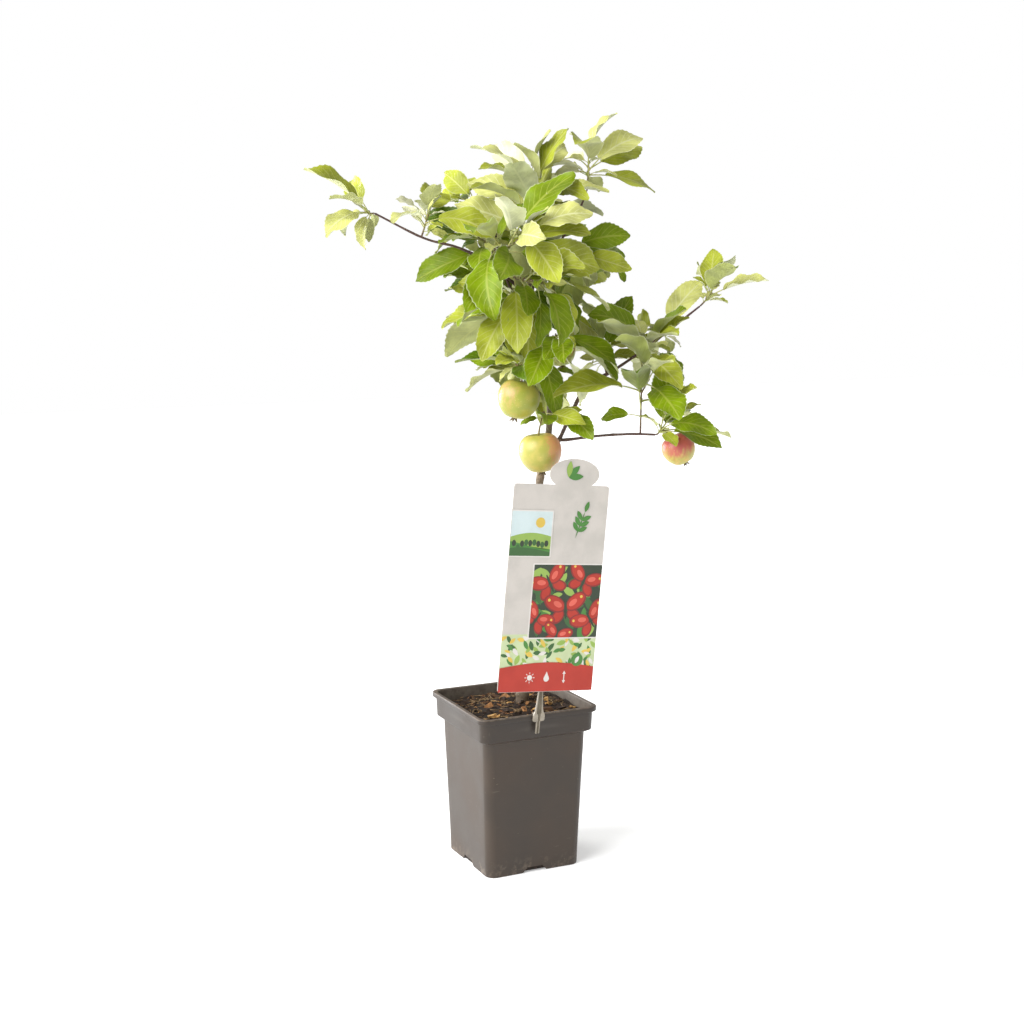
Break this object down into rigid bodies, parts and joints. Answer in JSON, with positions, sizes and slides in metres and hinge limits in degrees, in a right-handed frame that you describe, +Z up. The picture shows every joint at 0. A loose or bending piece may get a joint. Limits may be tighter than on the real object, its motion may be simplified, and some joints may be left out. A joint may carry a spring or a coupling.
{
  "type": "potted apple tree",
  "caption": "Young apple tree in a square nursery pot: a thin leaning trunk forks into leafy boughs that bear apples, with a plain label card clipped to the pot's rim.",
  "frame": {"origin": "middle of the pot's flat underside, on the surface it stands on", "axes": "+Z up; the pot's sides lie along X and Y; the label card faces -Y"},
  "size_m": [0.5053, 0.3219, 0.8945],
  "materials": {
    "pot": "moulded recycled plastic, dark taupe, satin, lightly scuffed and dusty",
    "soil": "moist peat with bark fibres",
    "label_card": "printed plastic card, satin",
    "label_stem": "moulded grey-green plastic",
    "bark": "smooth young bark, grey-brown on the trunk and red-brown on the boughs",
    "foliage": "matt green leaves, paler and downy beneath"
  },
  "bodies": {
    "root": {"pot": "pot", "soil": "soil", "label_card": "label_card", "label_stem": "label_stem", "trunk": "bark", "leader": "bark", "right_bough": "bark", "lower_right_bough": "bark", "left_bough": "bark", "upper_left_bough": "bark", "upper_right_bough": "bark", "back_bough": "bark", "left_tip_leaves": "foliage", "left_mid_leaves": "foliage", "left_inner_leaves": "foliage", "left_under_leaves": "foliage", "right_tip_leaves": "foliage", "right_mid_leaves": "foliage", "right_spur_leaves": "foliage", "right_front_leaves": "foliage", "lower_spur_leaves": "foliage", "lower_tip_leaves": "foliage", "top_leaves": "foliage", "upper_right_tip_leaves": "foliage", "upper_right_side_leaves": "foliage", "upper_left_tip_leaves": "foliage", "upper_left_side_leaves": "foliage", "front_leaves": "foliage", "mid_right_leaves": "foliage", "mid_left_leaves": "foliage", "low_right_leaves": "foliage", "low_left_leaves": "foliage", "low_spur_leaves": "foliage", "back_tip_leaves": "foliage", "back_side_leaves": "foliage", "back_left_leaves": "foliage"}
  },
  "joints": []
}
